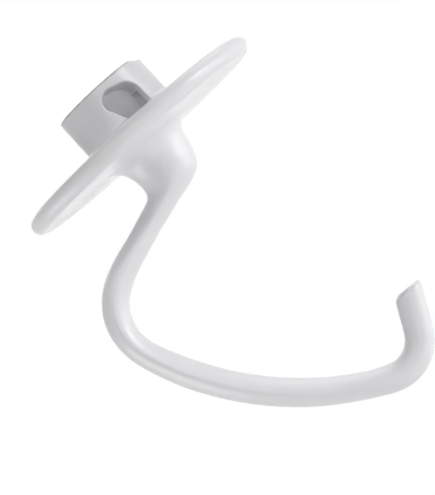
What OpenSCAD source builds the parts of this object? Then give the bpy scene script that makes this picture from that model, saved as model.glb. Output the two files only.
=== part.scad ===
// C-shaped dough hook for a stand mixer: one white coated casting.
// The middle of the shaft bore's mouth is the origin and +Z runs out of the bore.
// The disc is level and the hook hangs below it, with its path in the XZ plane.

/* [Hub] */
// Outer diameter of the hub
hub_d = 28.6; // [27:0.1:31]
// Height of the hub's mouth above the middle plane of the disc
hub_h = 16.9; // [16:0.1:19]
// Radius on the outer edge of the mouth
mouth_edge_r = 0.5; // [0.2:0.1:1]
// Diameter of the bore that takes the mixer's shaft
bore_d = 12.9; // [12.7:0.05:13.2]
// Depth of the bore from the mouth
bore_depth = 28; // [25:0.5:28]

/* [Drive pin way] */
// Width of the groove that the shaft's pin slides down, inside the hub on the +X side
groove_w = 5.6; // [5:0.1:6.5]
// Reach of the groove from the bore's axis
groove_reach = 10.7; // [9.5:0.1:11.5]
// Depth of the groove below the mouth
groove_depth = 12.4; // [11:0.1:12.5]
// Height of the turn that leads from the foot of the groove to the window
turn_h = 5.6; // [5:0.1:6.5]
// Direction of the window round the axis, in degrees from +X
window_at = -72; // [-80:1:-60]
// Depth of the dip in the rim over the groove, at the hub's outer face
dip_depth = 1.2; // [0.5:0.1:1.4]
// Width of the dip's floor
dip_w = 12.6; // [8:0.1:14]
// Width of the dip at the rim
dip_top_w = 19; // [15:0.5:22]
// Slope at which the dip falls outwards, in degrees
dip_slope = 6; // [6:1:12]

/* [Disc] */
// Diameter of the disc that keeps dough off the hub
disc_d = 79; // [70:0.5:90]
// Thickness of the disc at its rounded rim
rim_t = 5.2; // [4:0.1:6]
// Rise of the disc's upper face from the rim to the hub
crown = 2; // [0.5:0.1:3]
// Fall of the disc's underside from the rim to the middle
belly = 0.4; // [0:0.1:0.8]
// Radius at the root of the hub
root_r = 1; // [0.4:0.1:2]

/* [Hook] */
// Slope of the arm below the horizontal as it leaves the neck, in degrees
arm_slope = 18; // [14:1:22]
// Straight length of the arm
arm_len = 5.5; // [3:0.5:12]
// Centreline radius of the upper bend
upper_bend_r = 15.5; // [14:0.5:18]
// Length over which the upper bend tightens
upper_bend_in = 15.5; // [10:0.5:20]
// Length held at the upper bend's radius
upper_bend_len = 11.2; // [8:0.1:13]
// Length over which the upper bend opens into the sweep
upper_bend_out = 11.5; // [8:0.5:16]
// Centreline radius of the long sweep
sweep_r = 89; // [75:1:110]
// Length of the long sweep
sweep_len = 62; // [50:1:70]
// Length over which the lower bend tightens
lower_bend_in = 5.5; // [4:0.5:10]
// Centreline radius of the lower bend
lower_bend_r = 10.9; // [9:0.1:13]
// Length held at the lower bend's radius
lower_bend_len = 11.8; // [8:0.1:14]
// Length over which the lower bend straightens into the tip
lower_bend_out = 4.5; // [3:0.5:8]
// Straight length of the tip, up to where its end starts to turn level
tip_len = 3.5; // [2:0.5:5]
// Depth of the tip's flat end below the mouth
tip_depth = 97.4; // [96:0.1:98.5]
// Tilt of the tip's flat end, in degrees
tip_tilt = -3; // [-6:1:3]
// Radius round the edge of the tip's flat end
tip_edge_r = 1.8; // [1:0.1:2.2]

/* [Hidden] */
$fn = 64;
over = 1;  // how far a cutting shape runs past the face it opens
ring_sides = 28;
ring_step = 2;
neck_steps = 4;
tip_turn_steps = 4;
tip_edge_steps = 5;
arc_steps = 6;

bore_r = bore_d / 2;
hub_r = hub_d / 2;
rim_r = rim_t / 2;
rim_at = disc_d / 2 - rim_r;
disc_z = -hub_h;
disc_top_z = disc_z + rim_r + crown;
window_sill_z = -groove_depth;
turn_end = 24;  // how far the turn reaches past the groove's middle, in degrees from +X
buried_r = 17;  // radius of the neck's first ring, inside the disc

// The window's outline, seen from outside: two round upper corners over a skirt that leans.
// Each corner is [across, height, radius], and the skirt's points are [across, height].
window_corners = [[-2.8, -5.9, 3.3], [0, -8.2, 4.9]];
window_skirt = [[-2.6, -2.6], [0.8, -3.4], [4.9, -8.2], [5.2, window_sill_z], [-3.6, window_sill_z],
                [-6, -6.6]];

// Stations of the neck, from inside the disc to the arm. Each one is a ring across the casting:
// [left x, left z, right x, right z, half depth, roundness], with roundness 2 for an ellipse and
// less for a section that is drawn in towards a ridge.
neck = [[-buried_r, disc_z, buried_r, disc_z, buried_r, 2],
        [-14, -19.3, 14, -19.3, 14, 2],
        [-12.2, -20.6, 12.4, -20.6, 12.3, 2],
        [-10.9, -21.9, 11.2, -21.9, 11, 2],
        [-10.1, -23.3, 10.2, -23.3, 10.2, 2],
        [-9.6, -24.9, 9.7, -24.9, 9.7, 2],
        [-9.3, -26.6, 9.3, -26.8, 9.4, 2],
        [-9.2, -28.4, 8.7, -29.1, 9.3, 2],
        [-9.5, -30.1, 7.8, -31.4, 9, 2],
        [-10.5, -31.4, 5.9, -33.9, 8.4, 1.95],
        [-12, -32.1, 1.7, -35.8, 7.6, 1.9],
        [-13.4, -32.6, -3.4, -37.1, 6.8, 1.9],
        [-14.8, -33.1, -8, -38.5, 6, 1.85],
        [-16.2, -33.6, -12.3, -39.7, 5.4, 1.8]];

// Where the arm's straight length starts, as [x, z]
arm_start = [-16.9, -37.6];

// Section of the hook at distances along it: [distance, width, depth, roundness]
sections = [[0, 7, 10, 1.8],
            [20, 7.8, 10.4, 1.75],
            [36, 7.5, 11, 1.65],
            [54, 8.2, 11.4, 1.55],
            [84, 8.2, 11.2, 1.55],
            [100, 7.8, 10.8, 1.65],
            [114, 8.3, 10, 1.9],
            [132, 8.3, 9, 2]];

// The bends in order: [length, curvature at its start, curvature at its end], in radians a millimetre
bends = [[arm_len, 0, 0],
         [upper_bend_in, 0, 1 / upper_bend_r],
         [upper_bend_len, 1 / upper_bend_r, 1 / upper_bend_r],
         [upper_bend_out, 1 / upper_bend_r, 1 / sweep_r],
         [sweep_len, 1 / sweep_r, 1 / sweep_r],
         [lower_bend_in, 1 / sweep_r, 1 / lower_bend_r],
         [lower_bend_len, 1 / lower_bend_r, 1 / lower_bend_r],
         [lower_bend_out, 1 / lower_bend_r, 0],
         [tip_len, 0, 0]];

function sum(v) = len(v) == 0 ? 0 : [for (x = v) 1] * v;
function clamp(x, low, high) = min(max(x, low), high);
function smooth(t) = t * t * (3 - 2 * t);
function arc(centre, r, from, to) =
    [for (i = [0:arc_steps]) let (a = from + (to - from) * i / arc_steps) centre + r * [cos(a), sin(a)]];

// Start of each bend along the path, and the whole path's length
bend_starts = [for (i = 0, at = 0; i < len(bends); at = at + bends[i][0], i = i + 1) at];
path_len = sum([for (b = bends) b[0]]);

// Turn made within one bend after a distance d, in degrees
function bend_turn(b, d) = (b[1] * d + (b[2] - b[1]) * d * d / (2 * b[0])) * 180 / PI;
// Heading of the path at a distance s, in degrees from +X in the XZ plane
function heading(s) =
    arm_slope - 180 + sum([for (i = [0:len(bends) - 1])
                              bend_turn(bends[i], clamp(s - bend_starts[i], 0, bends[i][0]))]);

// The path in short steps, each [x, z, heading, distance]
path_steps = round(path_len / ring_step);
path_step = path_len / path_steps;
path = [for (i = 0, p = arm_start; i <= path_steps;
             h = heading((i + 0.5) * path_step), p = p + path_step * [cos(h), sin(h)], i = i + 1)
            [p[0], p[1], heading(i * path_step), i * path_step]];

// Section at a distance s, eased between the listed ones: [width, depth, roundness]
function section(s) =
    let (last = len(sections) - 1,
         i = clamp(sum([for (k = [1:last]) sections[k][0] <= s ? 1 : 0]), 0, last - 1),
         a = sections[i], b = sections[i + 1],
         t = smooth(clamp((s - a[0]) / (b[0] - a[0]), 0, 1)))
    [for (k = [1:3]) a[k] + (b[k] - a[k]) * t];

// A station from a centre, the angle of its line from right to left, a half width, a half depth
// and a roundness
function station(c, angle, half_w, half_d, round) =
    let (u = half_w * [cos(angle), sin(angle)])
    [c[0] + u[0], c[1] + u[1], c[0] - u[0], c[1] - u[1], half_d, round];
function path_station(p) =
    let (s = section(p[3]))
    station([p[0], p[1]], p[2] - 90, s[0] / 2, s[1] / 2, s[2]);

// One step of a smooth curve through four stations, between the middle two
function between(a, b, c, d, t) =
    0.5 * (2 * b + (c - a) * t + (2 * a - 5 * b + 4 * c - d) * t * t + (3 * b - a - 3 * c + d) * t * t * t);

neck_guide = concat([2 * neck[0] - neck[1]], neck, [path_station(path[0]), path_station(path[1])]);
neck_stations = [for (i = [1:len(neck_guide) - 3]) for (k = [0:neck_steps - 1])
                     between(neck_guide[i - 1], neck_guide[i], neck_guide[i + 1], neck_guide[i + 2],
                             k / neck_steps)];
path_stations = [for (p = path) path_station(p)];

// The tip's end: the rings turn from square across the hook to the cut, then draw in round its edge
tip_from = path[path_steps];
tip_dir = [cos(tip_from[2]), sin(tip_from[2])];
tip_section = section(path_len);
tip_skew = tip_tilt - (tip_from[2] - 90);
tip_end = [tip_from[0], tip_from[1]] + tip_dir * (-tip_depth - tip_from[1]) / tip_dir[1];
tip_edge_run = tip_edge_r / cos(tip_skew);
tip_base = tip_end - tip_dir * tip_edge_run;
tip_start = [tip_from[0], tip_from[1]];
tip_turn = [for (k = [1:tip_turn_steps])
                let (t = k / tip_turn_steps)
                station(tip_start + (tip_base - tip_start) * t, tip_from[2] - 90 + tip_skew * t,
                        tip_section[0] / 2 / cos(tip_skew * t), tip_section[1] / 2, tip_section[2])];
tip_edge = [for (k = [1:tip_edge_steps])
                let (a = 90 * k / tip_edge_steps, inset = tip_edge_r * (1 - cos(a)))
                station(tip_base + tip_dir * tip_edge_run * sin(a), tip_tilt,
                        tip_section[0] / 2 / cos(tip_skew) - inset, tip_section[1] / 2 - inset,
                        tip_section[2])];

stations = concat(neck_stations, path_stations, tip_turn, tip_edge);

// A point on a ring at the angle a round it
function reach(x, round) = sign(x) * pow(abs(x), 2 / round);
function ring_point(s, a) =
    let (c = reach(cos(a), s[5]), d = reach(sin(a), s[5]))
    [(s[0] + s[2]) / 2 + (s[2] - s[0]) / 2 * c, s[4] * d, (s[1] + s[3]) / 2 + (s[3] - s[1]) / 2 * c];

// The neck and the hook, lofted through the rings
module hook() {
    n = ring_sides;
    last = len(stations) - 1;
    points = [for (s = stations) for (j = [0:n - 1]) ring_point(s, 360 * j / n)];
    sides = [for (i = [0:last - 1]) for (j = [0:n - 1])
                 let (a = i * n + j, b = i * n + (j + 1) % n)
                 each [[a, b, b + n], [a, b + n, a + n]]];
    start_face = [for (j = [n - 1:-1:0]) j];
    end_face = [for (j = [0:n - 1]) last * n + j];
    polyhedron(points = points, faces = concat([start_face], sides, [end_face]), convexity = 6);
}

// The hub's outside, with a rounded outer edge at the mouth
module hub() {
    rotate_extrude() {
        translate([0, disc_z]) square([hub_r, hub_h - mouth_edge_r]);
        translate([0, disc_z]) square([hub_r - mouth_edge_r, hub_h]);
        translate([hub_r - mouth_edge_r, -mouth_edge_r]) circle(r = mouth_edge_r);
    }
}

// The disc, with a full round rim, a crowned upper face and a rounded root at the hub
module disc() {
    rotate_extrude() {
        translate([rim_at, disc_z]) circle(r = rim_r);
        polygon(concat([[0, disc_z - rim_r - belly], [rim_at, disc_z - rim_r], [rim_at, disc_z + rim_r]],
                       arc([hub_r + root_r, disc_top_z + root_r], root_r, 270, 180),
                       [[0, disc_top_z + root_r]]));
    }
}

// What the shaft's drive pin needs: a groove down from the mouth, a turn and a window to seat in
module pin_way() {
    groove_foot = turn_h / 2 - groove_depth;
    translate([0, -groove_w / 2, groove_foot]) cube([groove_reach, groove_w, over - groove_foot]);
    rotate([0, 0, window_at]) rotate_extrude(angle = turn_end - window_at)
        translate([bore_r - over, -groove_depth]) square([groove_reach - bore_r + over, turn_h]);
    rotate([0, 0, window_at]) rotate([90, 0, 90]) linear_extrude(hub_r + over) window_outline();
}

module window_outline() {
    for (c = window_corners) translate([c[0], c[1]]) circle(r = c[2]);
    polygon(window_skirt);
}

// A dip in the rim that leads the pin to the groove; it falls outwards and fades out at the bore
module rim_dip() {
    low = dip_w / 2;
    high = dip_top_w / 2;
    top = dip_depth + over;
    translate([hub_r, 0, -dip_depth]) rotate([0, dip_slope, 0]) rotate([90, 0, 90])
        translate([0, 0, -hub_r]) linear_extrude(hub_r + over)
            polygon([[-low, 0], [low, 0], [high, dip_depth], [high, top], [-high, top], [-high, dip_depth]]);
}

module bore() {
    translate([0, 0, -bore_depth]) cylinder(r = bore_r, h = bore_depth + over);
}

module dough_hook() {
    color("#f0f1f4") difference() {
        union() {
            hub();
            disc();
            hook();
        }
        bore();
        pin_way();
        rim_dip();
    }
}

dough_hook();
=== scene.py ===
from math import asin, atan2, ceil, cos, degrees, hypot, pi, radians, sin, sqrt

import bmesh
import bpy
from mathutils import Matrix, Vector
from mathutils.geometry import convex_hull_2d


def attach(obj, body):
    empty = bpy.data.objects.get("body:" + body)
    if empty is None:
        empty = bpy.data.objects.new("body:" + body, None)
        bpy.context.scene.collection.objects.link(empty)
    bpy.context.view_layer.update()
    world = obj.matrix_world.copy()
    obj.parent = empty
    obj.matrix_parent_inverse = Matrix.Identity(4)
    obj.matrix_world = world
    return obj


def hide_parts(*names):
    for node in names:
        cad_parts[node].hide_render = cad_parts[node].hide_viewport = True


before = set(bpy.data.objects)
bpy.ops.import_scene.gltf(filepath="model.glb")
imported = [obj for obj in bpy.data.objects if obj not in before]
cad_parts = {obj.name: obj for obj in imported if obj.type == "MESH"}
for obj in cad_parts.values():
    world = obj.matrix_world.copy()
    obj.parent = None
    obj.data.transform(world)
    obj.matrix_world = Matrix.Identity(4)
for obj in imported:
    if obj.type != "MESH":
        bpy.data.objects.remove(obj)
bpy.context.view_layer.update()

# A white coated dough hook for a stand mixer, in metres. The middle of the shaft bore's mouth is
# the origin, +Z runs out of the bore, and the hook's path lies in the XZ plane.
MM = 0.001

# Hub
BORE_R = 6.45 * MM
BORE_DEPTH = 28 * MM
BORE_EDGE_R = 0.5 * MM
HUB_R = 14.3 * MM
MOUTH_EDGE_R = 0.35 * MM
ROOT_R = 1.0 * MM

# Dip in the rim over the pin's groove, on the +X side. Its floor reaches this far to each side of
# the groove, it ends at its shoulders, and it fades out down the hub.
DIP_DEPTH = 1.2 * MM
DIP_SLOPE = radians(6)
DIP_FLOOR = 5.8 * MM
DIP_SHOULDER = 9.6 * MM
DIP_FADE = 6 * MM

# Groove, turn and window for the shaft's drive pin
GROOVE_W = 5.6 * MM
GROOVE_START = 3 * MM
GROOVE_REACH = 10.7 * MM
GROOVE_CORNER_R = 1.2 * MM
PIN_FLOOR_Z = -12.4 * MM
TURN_TOP_Z = -6.8 * MM
TURN_FROM = radians(-72)
TURN_TO = radians(27)
WINDOW_AT = radians(-72)
SILL_Z = -12.35 * MM
SILL_FADE = 1.6 * MM
# Circles that the window's outline is drawn round: (across, height, radius)
WINDOW_CORNERS = [(-2.8 * MM, -5.9 * MM, 3.3 * MM), (0, -8.2 * MM, 4.9 * MM),
                  (4.3 * MM, -11.5 * MM, 0.85 * MM), (-2.9 * MM, -11.5 * MM, 0.85 * MM)]

# The edge that a cut leaves: its rounding, how far round the cutter follows it, and how far the
# cutter then runs on outside
CUT_EDGE_R = 0.5 * MM
CUT_EDGE_TURN = radians(75)
LIP = 0.5 * MM
# How far a cutter stands clear where it has nothing to cut, how far apart the walls of two cuts
# are kept, and the size below which a sliver is merged
CLEAR = 2 * MM
CUTS_APART = 0.05 * MM
SLIVER = 0.005 * MM

# Shield disc
DISC_R = 39.5 * MM
DISC_Z = -16.9 * MM
RIM_R = 2.6 * MM
CROWN = 2.0 * MM
BELLY = 0.4 * MM
NECK_SEAM_R = 16.5 * MM

# Stations of the neck, from the disc's underside to the arm, in millimetres:
# (left x, left z, right x, right z, half depth, roundness)
NECK = [(-14.7, -19.75, 14.7, -19.75, 14.7, 2), (-13.4, -19.95, 13.5, -19.95, 13.4, 2),
        (-12.1, -20.7, 12.3, -20.7, 12.2, 2), (-10.9, -21.9, 11.2, -21.9, 11, 2),
        (-10.1, -23.3, 10.2, -23.3, 10.2, 2), (-9.6, -24.9, 9.7, -24.9, 9.7, 2),
        (-9.3, -26.6, 9.3, -26.8, 9.4, 2), (-9.2, -28.4, 8.7, -29.1, 9.3, 2),
        (-9.5, -30.1, 7.8, -31.4, 9, 2), (-10.5, -31.4, 5.9, -33.9, 8.4, 1.95),
        (-12, -32.1, 1.7, -35.8, 7.6, 1.9), (-13.4, -32.6, -3.4, -37.1, 6.8, 1.9),
        (-14.8, -33.1, -8, -38.5, 6, 1.85), (-16.2, -33.6, -12.3, -39.7, 5.4, 1.8)]

# The hook's path, in millimetres: where the arm starts, its heading there, and its bends in order,
# each with its length and the radius at its start and its end, where None is straight
ARM_START = (-16.9, -37.6)
ARM_HEADING = radians(-162)
BENDS = [(5.5, None, None), (15.5, None, 15.5), (11.2, 15.5, 15.5), (11.5, 15.5, 89), (62, 89, 89),
         (5.5, 89, 10.9), (11.8, 10.9, 10.9), (4.5, 10.9, None), (3.5, None, None)]
# Section along the path, in millimetres: (distance, width, depth, roundness)
SECTIONS = [(0, 7, 10, 1.8), (20, 7.8, 10.4, 1.75), (36, 7.5, 11, 1.65), (54, 8.2, 11.4, 1.55),
            (84, 8.2, 11.2, 1.55), (100, 7.8, 10.8, 1.65), (114, 8.3, 10, 1.9), (132, 8.3, 9, 2)]
# The tip's flat end: its height and the rounding of its edge, in millimetres, and its tilt
TIP_Z = -97.4
TIP_EDGE_R = 1.8
TIP_TILT = radians(-3)

# Fineness of the mesh. The half section's arcs come in order from the bore's foot out to the rim,
# and the path's step is in millimetres.
SIDES = 128
FOOT_STEPS, BORE_EDGE_STEPS, MOUTH_EDGE_STEPS, ROOT_STEPS, RIM_STEPS = 4, 5, 6, 6, 20
PROFILE_STEP = 0.8 * MM
WELD = 0.001 * MM
NECK_STEPS = 5
PATH_STEP = 0.9
TIP_TURN_STEPS = 6
TIP_EDGE_STEPS = 8
TIP_CAP_STEPS = 4
CIRCLE_POINTS = 96
OUTLINE_STEP = 0.3 * MM
CUT_EDGE_STEPS = 6
GROOVE_END_STEPS = 4
TURN_STEPS = 48
SHARP_ANGLE = radians(35)

# The photograph's view: its height and its focal length in pixels, and the camera's place and roll
IMAGE_H = 495
FOCAL_PIXELS = 2172
CAMERA_AT = Vector((-4.76, -600, -54.1)) * MM
CAMERA_ROLL = radians(42.2)
SENSOR_H = 24
CLIP_START = 50 * MM

# The coating: its two close tones, how many of its patches there are to a metre, its gloss, and
# its ripple
COAT_WHITE = (0.84, 0.838, 0.856, 1)
COAT_SHADE = (0.815, 0.813, 0.831, 1)
COAT_PATCHES = 90
COAT_ROUGHNESS = 0.32
ROUGHNESS_SPREAD = 0.04
RIPPLE_SIZE = 1.3 * MM
RIPPLE_HEIGHT = 0.012 * MM
# Painted shade: a dark grey band along the edges of the hub's mouth and of the bore. Its colour, how far
# from the edge it shows, the size of the patches that it breaks up into, and how much of it is left
# between them
PAINTED_SHADE_GREY = (0.2, 0.2, 0.21, 1)
MOUTH_SHADE_WIDTH = 0.7 * MM
BORE_SHADE_WIDTH = 0.9 * MM
SHADE_PATCH_SIZE = 2 * MM
SHADE_PATCH_LEAST = 0.45
# The range that most of the noise lies in, and how finely it is broken up: for the coating's tone and the
# painted shade's patches, and for its gloss and its ripple
NOISE_LOW, NOISE_HIGH = 0.3, 0.7
TONE_DETAIL, GLOSS_DETAIL = 3, 2

# The studio
WHITE = (1, 1, 1, 1)
FLOOR_PALE = (0.8, 0.8, 0.8, 1)
FLOOR_ROUGHNESS = 0.9
FLOOR_Z = -600 * MM
FLOOR_R = 3
# What the camera sees of the floor besides the lamps' light on it: this much below the hook, and
# rising to 1 between these distances from the origin, where the lamps light the floor less
FLOOR_GLOW = 0.55
GLOW_FROM, GLOW_TO = 0.85, 1.5
# Each lamp's name, its azimuth, elevation and distance from the point that the lamps face, its
# width as a share of that distance, and its level. Azimuth 0 is the camera's side and 90 is +X.
LIT_AT = Vector((0, 0, -60)) * MM
LAMPS = [("right", 70, 0, 1.2, 0.35, 3.6), ("right_low", 90, -20, 0.8, 0.67, 2.6),
         ("left_high", -30, 50, 1.2, 0.67, 2.9), ("left_low", -90, -20, 0.8, 0.67, 3.4),
         ("front", 0, 15, 1.2, 0.67, 2.1), ("front_low", 0, -50, 0.5, 0.67, 1.7),
         ("back", 180, 15, 1.2, 0.67, 1.5), ("back_right", 120, 50, 1.2, 0.67, 2.7)]


def share(value):
    """The value, held between 0 and 1."""
    return min(max(value, 0), 1)


def smooth(t):
    """A share from 0 to 1, eased at both ends."""
    return t * t * (3 - 2 * t)


def arc(centre, r, start, end, steps):
    """Points along an arc in the (r, z) plane, its angles in degrees."""
    angles = [radians(start + (end - start) * i / steps) for i in range(steps + 1)]
    return [(centre[0] + r * cos(a), centre[1] + r * sin(a)) for a in angles]


def along(a, b, step):
    """Points from a to b, both left out, about a step apart."""
    count = max(1, round(hypot(b[0] - a[0], b[1] - a[1]) / step))
    return [(a[0] + (b[0] - a[0]) * i / count, a[1] + (b[1] - a[1]) * i / count)
            for i in range(1, count)]


def filled_in(outline, step):
    """The outline with points added wherever they are more than a step apart."""
    points = [outline[0]]
    for a, b in zip(outline, outline[1:]):
        points += along(a, b, step) + [b]
    return points


def body_profile():
    """Half section of the hub and the disc, from the bore's foot round to the neck's seam."""
    disc_top = DISC_Z + RIM_R + CROWN
    rim_at = DISC_R - RIM_R
    top_slope = degrees(atan2(CROWN, rim_at - HUB_R))
    outline = [(0, -BORE_DEPTH)]
    outline += arc((BORE_R - BORE_EDGE_R, BORE_EDGE_R - BORE_DEPTH), BORE_EDGE_R, -90, 0, FOOT_STEPS)
    outline += arc((BORE_R + BORE_EDGE_R, -BORE_EDGE_R), BORE_EDGE_R, 180, 90, BORE_EDGE_STEPS)
    outline += arc((HUB_R - MOUTH_EDGE_R, -MOUTH_EDGE_R), MOUTH_EDGE_R, 90, 0, MOUTH_EDGE_STEPS)
    outline += arc((HUB_R + ROOT_R, disc_top + ROOT_R), ROOT_R, 180, 270 - top_slope, ROOT_STEPS)
    outline += arc((rim_at, DISC_Z), RIM_R, 90 - top_slope, -90, RIM_STEPS)
    outline += [(NECK_SEAM_R, DISC_Z - RIM_R - BELLY * (1 - NECK_SEAM_R / rim_at))]
    return filled_in(outline, PROFILE_STEP)


def dip(x, y, z):
    """How far the rim's dip lowers a point of the hub: most at the outside, less towards the bore."""
    depth = max(0, DIP_DEPTH - (HUB_R - x) * sin(DIP_SLOPE))
    beside = share((DIP_SHOULDER - abs(y)) / (DIP_SHOULDER - DIP_FLOOR))
    return depth * smooth(beside) * share(1 + z / DIP_FADE)


def turned_body(bm):
    """Turns the hub and the disc in one from their half section. Gives the open ring at the neck."""
    profile = [bm.verts.new((r, 0, z)) for r, z in body_profile()]
    edges = [bm.edges.new(pair) for pair in zip(profile, profile[1:])]
    bmesh.ops.spin(bm, geom=profile + edges, axis=(0, 0, 1), cent=(0, 0, 0), angle=2 * pi,
                   steps=SIDES, use_merge=True, use_duplicate=False)
    bmesh.ops.remove_doubles(bm, verts=bm.verts, dist=WELD)
    for v in bm.verts:
        if v.co.z > -DIP_FADE and v.co.x > 0:
            v.co.z -= dip(*v.co)
    ring = {v for e in bm.edges if e.is_boundary for v in e.verts}
    return sorted(ring, key=lambda v: atan2(v.co.y, v.co.x) % (2 * pi))


def next_ring(bm, ring, place):
    """Extrudes a ring of vertices and puts vertex i of the new ring at place(i)."""
    edges = [bm.edges.get(pair) for pair in zip(ring, ring[1:] + ring[:1])]
    made = set(bmesh.ops.extrude_edge_only(bm, edges=edges)["geom"])
    ring = [next(e.other_vert(v) for e in v.link_edges if e.other_vert(v) in made) for v in ring]
    for i, v in enumerate(ring):
        v.co = place(i)
    return ring


def reach(x, roundness):
    """A sine or cosine drawn out for a section of this roundness, where 2 is an ellipse."""
    return abs(x) ** (2 / roundness) * (1 if x >= 0 else -1)


def on_section(here, i):
    """Vertex i of the section at a station, in metres."""
    left_x, left_z, right_x, right_z, half_depth, roundness = here
    a = 2 * pi * i / SIDES
    across = reach(cos(a), roundness)
    x = (left_x + right_x) / 2 + (right_x - left_x) / 2 * across
    z = (left_z + right_z) / 2 + (right_z - left_z) / 2 * across
    return Vector((x, half_depth * reach(sin(a), roundness), z)) * MM


def curvature(radius):
    """How sharply a bend of this radius turns, which is not at all where the path is straight."""
    return 0 if radius is None else 1 / radius


def heading(s):
    """The path's heading at a distance s, from the bends that it has passed."""
    angle = ARM_HEADING
    for length, r_start, r_end in BENDS:
        d = min(max(s, 0), length)
        start, end = curvature(r_start), curvature(r_end)
        angle += start * d + (end - start) * d * d / (2 * length)
        s -= length
    return angle


def section(s):
    """Width, depth and roundness at a distance s along the path."""
    i = max(k for k in range(len(SECTIONS) - 1) if SECTIONS[k][0] <= s)
    a, b = SECTIONS[i], SECTIONS[i + 1]
    t = smooth(min((s - a[0]) / (b[0] - a[0]), 1))
    return [a[k] + (b[k] - a[k]) * t for k in (1, 2, 3)]


def station(x, z, angle, half_w, half_d, roundness):
    """A station whose line from left to right lies at an angle in the XZ plane."""
    u = (half_w * cos(angle), half_w * sin(angle))
    return (x + u[0], z + u[1], x - u[0], z - u[1], half_d, roundness)


def path_stations():
    """Stations along the hook's path, and then the place, the heading and the section at its end."""
    length = sum(bend[0] for bend in BENDS)
    steps = ceil(length / PATH_STEP)
    step = length / steps
    x, z = ARM_START
    stations = []
    for i in range(steps + 1):
        w, d, roundness = section(i * step)
        stations.append(station(x, z, heading(i * step) - pi / 2, w / 2, d / 2, roundness))
        if i < steps:
            h = heading((i + 0.5) * step)
            x, z = x + step * cos(h), z + step * sin(h)
    return stations, (x, z), heading(length), section(length)


def spline(a, b, c, d, t):
    """A smooth curve through four values, between the middle two."""
    square = 2 * a - 5 * b + 4 * c - d
    cube = 3 * b - a - 3 * c + d
    return 0.5 * (2 * b + (c - a) * t + square * t * t + cube * t ** 3)


def neck_stations(following):
    """Stations of the neck, eased into those that follow."""
    before = tuple(2 * a - b for a, b in zip(NECK[0], NECK[1]))
    guide = [before] + NECK + following[:2]
    stations = []
    for i in range(1, len(NECK) + 1):
        around = list(zip(*guide[i - 1:i + 3]))
        for k in range(NECK_STEPS):
            stations.append(tuple(spline(*values, k / NECK_STEPS) for values in around))
    return stations


def tip_stations(start, tip_heading, tip_section):
    """Stations that turn level at the tip, draw in round its edge and close in on its flat end."""
    w, d, roundness = tip_section
    skew = TIP_TILT - (tip_heading - pi / 2)
    length = (TIP_Z - start[1]) / sin(tip_heading)
    edge_run = TIP_EDGE_R / cos(skew)

    def at(run, turned, inset, size):
        x, z = start[0] + run * cos(tip_heading), start[1] + run * sin(tip_heading)
        half_w, half_d = w / 2 / cos(skew * turned) - inset, d / 2 - inset
        angle = tip_heading - pi / 2 + skew * turned
        return station(x, z, angle, half_w * size, half_d * size, roundness)

    stations = []
    for k in range(1, TIP_TURN_STEPS + 1):
        turned = k / TIP_TURN_STEPS
        stations.append(at((length - edge_run) * turned, turned, 0, 1))
    for k in range(1, TIP_EDGE_STEPS + 1):
        a = pi / 2 * k / TIP_EDGE_STEPS
        stations.append(at(length - edge_run * (1 - sin(a)), 1, TIP_EDGE_R * (1 - cos(a)), 1))
    for k in range(1, TIP_CAP_STEPS):
        stations.append(at(length, 1, TIP_EDGE_R, 1 - k / TIP_CAP_STEPS))
    return stations


def hook_rings(bm, ring):
    """Carries the neck's open ring through every station to the tip's flat end, and closes it."""
    path, end, end_heading, end_section = path_stations()
    for here in neck_stations(path) + path + tip_stations(end, end_heading, end_section):
        ring = next_ring(bm, ring, lambda i: on_section(here, i))
    bmesh.ops.contextual_create(bm, geom=ring)


def faces_out(bm):
    """Turns every face outwards."""
    bmesh.ops.recalc_face_normals(bm, faces=bm.faces)


def new_object(name, bm):
    """Makes an object of a finished bmesh."""
    mesh = bpy.data.meshes.new(name)
    bm.to_mesh(mesh)
    bm.free()
    piece = bpy.data.objects.new(name, mesh)
    bpy.context.scene.collection.objects.link(piece)
    return piece


def even_outline(circles):
    """The outline drawn round a set of circles, as evenly spaced (point, outward normal) pairs."""
    points = []
    for x, y, r in circles:
        for i in range(CIRCLE_POINTS):
            a = 2 * pi * i / CIRCLE_POINTS
            points.append(Vector((x + r * cos(a), y + r * sin(a))))
    hull = [tuple(points[i]) for i in convex_hull_2d(points)]
    outline = filled_in(hull + hull[:1], OUTLINE_STEP)[:-1]
    before, after = outline[-1:] + outline[:-1], outline[1:] + outline[:1]
    area = sum(a[0] * b[1] - a[1] * b[0] for a, b in zip(outline, after))
    turn = 1 if area > 0 else -1
    return [(p, Vector((b[1] - a[1], a[0] - b[0])).normalized() * turn)
            for a, p, b in zip(before, outline, after)]


def flared(outline, in_space, surface, start, end):
    """A closed cutter through an outline, whose mouth opens to round the edge that it leaves.

    The outline is a list of (point, outward normal), in_space(point, run) gives a point's place at a
    run along the cut, and surface(point) is the run at which the cut comes out.
    """
    rings = [(0, lambda p: start)]
    for k in range(CUT_EDGE_STEPS + 1):
        a = CUT_EDGE_TURN * k / CUT_EDGE_STEPS
        below = CUT_EDGE_R * (1 - sin(a))
        rings.append((CUT_EDGE_R * (1 - cos(a)), lambda p, below=below: surface(p) - below))
    widest = CUT_EDGE_R * (1 - cos(CUT_EDGE_TURN)) + LIP * sin(CUT_EDGE_TURN)
    rings.append((widest, lambda p: surface(p) + LIP * cos(CUT_EDGE_TURN)))
    rings.append((widest, lambda p: end))

    bm = bmesh.new()
    ring = None
    for offset, run in rings:
        moved = [(p[0] + n[0] * offset, p[1] + n[1] * offset) for p, n in outline]
        points = [in_space(p, run(p)) for p in moved]
        if ring is None:
            ring = [bm.verts.new(p) for p in points]
            for pair in zip(ring, ring[1:] + ring[:1]):
                bm.edges.new(pair)
            bmesh.ops.contextual_create(bm, geom=ring)
        else:
            ring = next_ring(bm, ring, lambda i: points[i])
    bmesh.ops.contextual_create(bm, geom=ring)
    faces_out(bm)
    return bm


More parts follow.
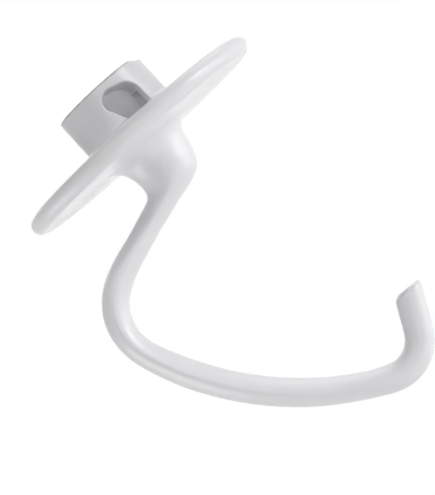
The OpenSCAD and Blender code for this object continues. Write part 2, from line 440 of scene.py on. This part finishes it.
def window_cutter():
    """Through the hub's wall, its mouth following the wall's round face, with a level sill."""
    out = Vector((cos(WINDOW_AT), sin(WINDOW_AT), 0))
    across = Vector((-sin(WINDOW_AT), cos(WINDOW_AT), 0))

    def in_space(p, run):
        return out * run + across * p[0] + Vector((0, 0, max(p[1], SILL_Z)))

    def surface(p):
        return sqrt(HUB_R ** 2 - p[0] ** 2)

    outline = [(p, n * share((p[1] - SILL_Z) / SILL_FADE)) for p, n in even_outline(WINDOW_CORNERS)]
    return new_object("window_cutter", flared(outline, in_space, surface, 0, HUB_R + CLEAR))


def groove_cutter():
    """Down from the mouth into the turn, its mouth following the rim's dip.

    Its outer end is an arc about the bore's axis, just short of the turn's own wall.
    """
    half, r = GROOVE_W / 2 - GROOVE_CORNER_R, GROOVE_CORNER_R
    circles = [(GROOVE_START, -half, r), (GROOVE_START, half, r)]
    end_r = GROOVE_REACH - CUTS_APART - r
    for k in range(-GROOVE_END_STEPS, GROOVE_END_STEPS + 1):
        a = asin(half / end_r) * k / GROOVE_END_STEPS
        circles.append((end_r * cos(a), end_r * sin(a), r))

    def in_space(p, run):
        return Vector((p[0], p[1], run))

    def surface(p):
        return -dip(p[0], p[1], 0)

    foot = (PIN_FLOOR_Z + TURN_TOP_Z) / 2
    return new_object("groove_cutter", flared(even_outline(circles), in_space, surface, foot, CLEAR))


def turn_cutter():
    """Round from the window to the groove, at the pin's level."""
    bm = bmesh.new()
    inner = BORE_R - CLEAR
    corners = [(inner, PIN_FLOOR_Z), (GROOVE_REACH, PIN_FLOOR_Z),
               (GROOVE_REACH, TURN_TOP_Z), (inner, TURN_TOP_Z)]
    ring = [bm.verts.new((r * cos(TURN_FROM), r * sin(TURN_FROM), z)) for r, z in corners]
    edges = [bm.edges.new(pair) for pair in zip(ring, ring[1:] + ring[:1])]
    bmesh.ops.spin(bm, geom=ring + edges, axis=(0, 0, 1), cent=(0, 0, 0), angle=TURN_TO - TURN_FROM,
                   steps=TURN_STEPS, use_merge=False, use_duplicate=False)
    bmesh.ops.holes_fill(bm, edges=[e for e in bm.edges if e.is_boundary], sides=4)
    faces_out(bm)
    return new_object("turn_cutter", bm)


def cut(piece, cutter):
    """Takes the cutter's shape out of the piece, and removes the cutter."""
    modifier = piece.modifiers.new("cut", "BOOLEAN")
    modifier.object = cutter
    modifier.operation = "DIFFERENCE"
    modifier.solver = "EXACT"
    bpy.context.view_layer.update()
    shaped = piece.evaluated_get(bpy.context.evaluated_depsgraph_get())
    mesh = bpy.data.meshes.new_from_object(shaped)
    piece.modifiers.remove(modifier)
    piece.data = mesh
    bpy.data.objects.remove(cutter)


def clear_slivers(piece):
    """Merges the slivers that cutting leaves, and splits faces of many sides into triangles."""
    bm = bmesh.new()
    bm.from_mesh(piece.data)
    bmesh.ops.dissolve_degenerate(bm, edges=bm.edges, dist=SLIVER)
    bmesh.ops.remove_doubles(bm, verts=bm.verts, dist=SLIVER)
    bmesh.ops.triangulate(bm, faces=[f for f in bm.faces if len(f.verts) > 4])
    bm.to_mesh(piece.data)
    bm.free()


def casting():
    """The whole casting as one closed mesh."""
    bm = bmesh.new()
    hook_rings(bm, turned_body(bm))
    faces_out(bm)
    piece = new_object("coated_casting", bm)
    for cutter in (groove_cutter(), turn_cutter(), window_cutter()):
        cut(piece, cutter)
    clear_slivers(piece)
    piece.data.shade_smooth()
    piece.data.set_sharp_from_angle(angle=SHARP_ANGLE)
    return piece


def cloud(nodes, links, place, scale, detail, low, high):
    """Soft noise over the surface, spread from low to high."""
    noise = nodes.new("ShaderNodeTexNoise")
    noise.inputs["Scale"].default_value = scale
    noise.inputs["Detail"].default_value = detail
    links.new(place, noise.inputs["Vector"])
    spread = nodes.new("ShaderNodeMapRange")
    spread.inputs["From Min"].default_value = NOISE_LOW
    spread.inputs["From Max"].default_value = NOISE_HIGH
    spread.inputs["To Min"].default_value = low
    spread.inputs["To Max"].default_value = high
    links.new(noise.outputs["Fac"], spread.inputs["Value"])
    return spread.outputs["Result"]


def length_of(nodes, links, vector):
    """The length of a vector."""
    measure = nodes.new("ShaderNodeVectorMath")
    measure.operation = "LENGTH"
    links.new(vector, measure.inputs[0])
    return measure.outputs["Value"]


def ring_painted_shade():
    """A group that masks the edge round a ring about the Z axis, where a dark band of shade is painted.

    The mask is strongest on the ring, fades over the width and is broken up by noise.
    """
    group = bpy.data.node_groups.new("ring_painted_shade", "ShaderNodeTree")
    nodes, links = group.nodes, group.links
    group.interface.new_socket("Place", in_out="INPUT", socket_type="NodeSocketVector")
    for name in ("Radius", "Width"):
        group.interface.new_socket(name, in_out="INPUT", socket_type="NodeSocketFloat")
    group.interface.new_socket("Mask", in_out="OUTPUT", socket_type="NodeSocketFloat")
    given = nodes.new("NodeGroupInput")
    put_out = nodes.new("NodeGroupOutput")

    axes = nodes.new("ShaderNodeSeparateXYZ")
    links.new(given.outputs["Place"], axes.inputs[0])
    flat = nodes.new("ShaderNodeCombineXYZ")
    links.new(axes.outputs["X"], flat.inputs["X"])
    links.new(axes.outputs["Y"], flat.inputs["Y"])
    from_axis = length_of(nodes, links, flat.outputs[0])
    past_ring = nodes.new("ShaderNodeMath")
    past_ring.operation = "SUBTRACT"
    links.new(from_axis, past_ring.inputs[0])
    links.new(given.outputs["Radius"], past_ring.inputs[1])
    off_ring = nodes.new("ShaderNodeCombineXYZ")
    links.new(past_ring.outputs[0], off_ring.inputs["X"])
    links.new(axes.outputs["Z"], off_ring.inputs["Y"])

    near = nodes.new("ShaderNodeMapRange")
    near.interpolation_type = "SMOOTHSTEP"
    near.inputs["To Min"].default_value = 1
    near.inputs["To Max"].default_value = 0
    links.new(length_of(nodes, links, off_ring.outputs[0]), near.inputs["Value"])
    links.new(given.outputs["Width"], near.inputs["From Max"])
    patches = cloud(nodes, links, given.outputs["Place"], 1 / SHADE_PATCH_SIZE, TONE_DETAIL, SHADE_PATCH_LEAST, 1)
    broken = nodes.new("ShaderNodeMath")
    broken.operation = "MULTIPLY"
    links.new(near.outputs["Result"], broken.inputs[0])
    links.new(patches, broken.inputs[1])
    links.new(broken.outputs[0], put_out.inputs["Mask"])
    return group


def coating():
    """The white coating: satin, a little uneven in tone and gloss, with the faint ripple of a baked coat.

    Shade is painted in dark grey along the edges of the hub's mouth and of the bore.
    """
    material = bpy.data.materials.new("white_coating")
    material.use_nodes = True
    nodes, links = material.node_tree.nodes, material.node_tree.links
    shader = nodes["Principled BSDF"]
    place = nodes.new("ShaderNodeTexCoord").outputs["Object"]

    tone = nodes.new("ShaderNodeValToRGB")
    tone.color_ramp.elements[0].color = COAT_SHADE
    tone.color_ramp.elements[1].color = COAT_WHITE
    links.new(cloud(nodes, links, place, COAT_PATCHES, TONE_DETAIL, 0, 1), tone.inputs["Fac"])
    colour = tone.outputs["Color"]
    shade_group = ring_painted_shade()
    # Painted shade: a dark grey band round the hub's mouth and round the bore's edge
    for radius, width in ((HUB_R, MOUTH_SHADE_WIDTH), (BORE_R, BORE_SHADE_WIDTH)):
        shaded_edge = nodes.new("ShaderNodeGroup")
        shaded_edge.node_tree = shade_group
        shaded_edge.inputs["Radius"].default_value = radius
        shaded_edge.inputs["Width"].default_value = width
        links.new(place, shaded_edge.inputs["Place"])
        mixed = nodes.new("ShaderNodeMixRGB")
        mixed.inputs["Color2"].default_value = PAINTED_SHADE_GREY
        links.new(shaded_edge.outputs["Mask"], mixed.inputs["Fac"])
        links.new(colour, mixed.inputs["Color1"])
        colour = mixed.outputs["Color"]
    links.new(colour, shader.inputs["Base Color"])

    gloss = cloud(nodes, links, place, COAT_PATCHES * 2, GLOSS_DETAIL,
                  COAT_ROUGHNESS - ROUGHNESS_SPREAD, COAT_ROUGHNESS + ROUGHNESS_SPREAD)
    links.new(gloss, shader.inputs["Roughness"])

    ripple = nodes.new("ShaderNodeBump")
    ripple.inputs["Distance"].default_value = RIPPLE_HEIGHT
    links.new(cloud(nodes, links, place, 1 / RIPPLE_SIZE, GLOSS_DETAIL, 0, 1), ripple.inputs["Height"])
    links.new(ripple.outputs["Normal"], shader.inputs["Normal"])
    return material


def seen_directly(nodes, links):
    """1 for what the camera sees, straight or by reflection or through glass, and 0 for other light."""
    path = nodes.new("ShaderNodeLightPath")
    seen = path.outputs["Is Camera Ray"]
    for other in ("Is Glossy Ray", "Is Transmission Ray"):
        either = nodes.new("ShaderNodeMath")
        either.operation = "MAXIMUM"
        links.new(seen, either.inputs[0])
        links.new(path.outputs[other], either.inputs[1])
        seen = either.outputs[0]
    return seen


def pale_floor():
    """A wide, plain floor below the hook, white where the camera sees it lit, and grey in the shadow."""
    bm = bmesh.new()
    bmesh.ops.create_circle(bm, cap_ends=True, segments=CIRCLE_POINTS, radius=FLOOR_R,
                            matrix=Matrix.Translation((0, 0, FLOOR_Z)))
    floor = new_object("floor", bm)
    material = bpy.data.materials.new("pale_floor")
    material.use_nodes = True
    nodes, links = material.node_tree.nodes, material.node_tree.links
    shader = nodes["Principled BSDF"]
    shader.inputs["Base Color"].default_value = FLOOR_PALE
    shader.inputs["Roughness"].default_value = FLOOR_ROUGHNESS
    shader.inputs["Emission Color"].default_value = WHITE
    glow = nodes.new("ShaderNodeMapRange")
    glow.inputs["From Min"].default_value = GLOW_FROM
    glow.inputs["From Max"].default_value = GLOW_TO
    glow.inputs["To Min"].default_value = FLOOR_GLOW
    place = nodes.new("ShaderNodeTexCoord").outputs["Object"]
    links.new(length_of(nodes, links, place), glow.inputs["Value"])
    seen_glow = nodes.new("ShaderNodeMath")
    seen_glow.operation = "MULTIPLY"
    links.new(glow.outputs["Result"], seen_glow.inputs[0])
    links.new(seen_directly(nodes, links), seen_glow.inputs[1])
    links.new(seen_glow.outputs[0], shader.inputs["Emission Strength"])
    floor.data.materials.append(material)


def white_world():
    """An even white background, which gives the object no light of its own."""
    world = bpy.data.worlds.new("studio")
    bpy.context.scene.world = world
    world.use_nodes = True
    nodes, links = world.node_tree.nodes, world.node_tree.links
    background = nodes["Background"]
    background.inputs["Color"].default_value = WHITE
    links.new(seen_directly(nodes, links), background.inputs["Strength"])


def softbox(name, azimuth, elevation, distance, width_share, level):
    """A square lamp that faces the hook's middle, its level the same at any distance."""
    lamp = bpy.data.lights.new(name, "AREA")
    lamp.size = distance * width_share
    lamp.energy = level * distance ** 2
    a, e = radians(azimuth), radians(elevation)
    away = Vector((cos(e) * sin(a), -cos(e) * cos(a), sin(e)))
    box = bpy.data.objects.new(name, lamp)
    box.location = LIT_AT + away * distance
    box.rotation_euler = away.to_track_quat("Z", "Y").to_euler()
    bpy.context.scene.collection.objects.link(box)


def camera():
    """The photograph's view: level with the hook, and rolled so that the hub points up and to the left."""
    lens = bpy.data.cameras.new("camera")
    lens.sensor_fit = "VERTICAL"
    lens.sensor_height = SENSOR_H
    lens.lens = FOCAL_PIXELS * SENSOR_H / IMAGE_H
    lens.clip_start = CLIP_START
    view = bpy.data.objects.new("camera", lens)
    right = Vector((cos(CAMERA_ROLL), 0, -sin(CAMERA_ROLL)))
    up = Vector((sin(CAMERA_ROLL), 0, cos(CAMERA_ROLL)))
    turn = Matrix((right, up, right.cross(up))).transposed()
    view.matrix_world = Matrix.Translation(CAMERA_AT) @ turn.to_4x4()
    bpy.context.scene.collection.objects.link(view)
    bpy.context.scene.camera = view


hook = casting()
hook.data.materials.append(coating())
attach(hook, "root")
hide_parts("dough_hook")

pale_floor()
white_world()
for lamp in LAMPS:
    softbox(*lamp)
camera()
bpy.context.scene.view_settings.view_transform = "Standard"
